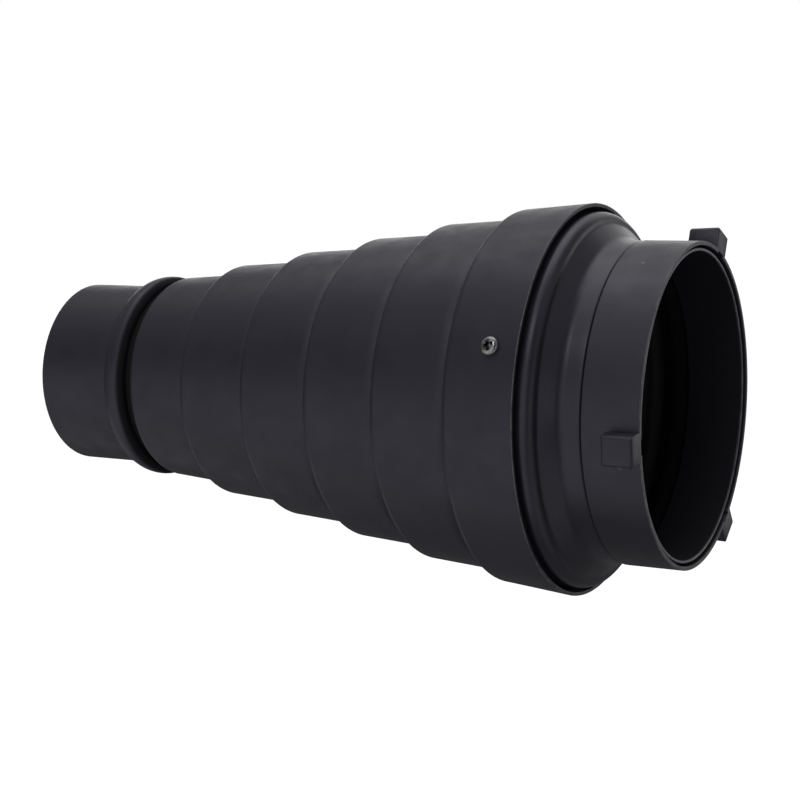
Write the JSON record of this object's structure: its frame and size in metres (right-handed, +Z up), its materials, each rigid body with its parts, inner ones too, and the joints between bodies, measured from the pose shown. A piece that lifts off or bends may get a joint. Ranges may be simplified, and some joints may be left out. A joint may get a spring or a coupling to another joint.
{
  "type": "snoot",
  "caption": "Stepped conical snoot with a three-claw bayonet collar, a detachable turning front tube and a honeycomb grid.",
  "frame": {"origin": "centre of the bayonet collar's rim plane, where the snoot seats on the lamp", "axes": "+X points out of the mount towards the lamp and the snoot runs along -X to its narrow end; +Z is up"},
  "size_m": [0.223, 0.12, 0.1208],
  "materials": {
    "shell_black": "matt black coated, spun",
    "adapter_black": "matt black coated, spun",
    "collar_black": "satin black coated, turned",
    "claw_black": "satin black coated, milled",
    "screw_steel": "blackened, worn bright on its edges",
    "nut_steel": "plain",
    "front_black": "matt black coated, spun",
    "comb_black": "black anodised foil",
    "ring_steel": "blackened spring wire"
  },
  "bodies": {
    "snoot": {"shell": "shell_black", "adapter": "adapter_black", "collar": "collar_black", "claw_1": "claw_black", "claw_2": "claw_black", "claw_3": "claw_black", "fixing_screws": "screw_steel", "fixing_nuts": "nut_steel"},
    "coupling": {"coupling_ring": "front_black"},
    "front": {"front_tube": "front_black", "honeycomb": "comb_black", "honeycomb_band": "front_black", "grid_snap_ring": "ring_steel"}
  },
  "joints": [
    {"name": "front_pull", "type": "slide", "parent": "snoot", "child": "coupling", "axis": [-1, 0, 0], "range_m": [-0.0026, 0.018]},
    {"name": "front_turn", "type": "hinge", "parent": "coupling", "child": "front", "pos_m": [-0.2, 0, 0], "axis": [-1, 0, 0], "continuous": true}
  ]
}
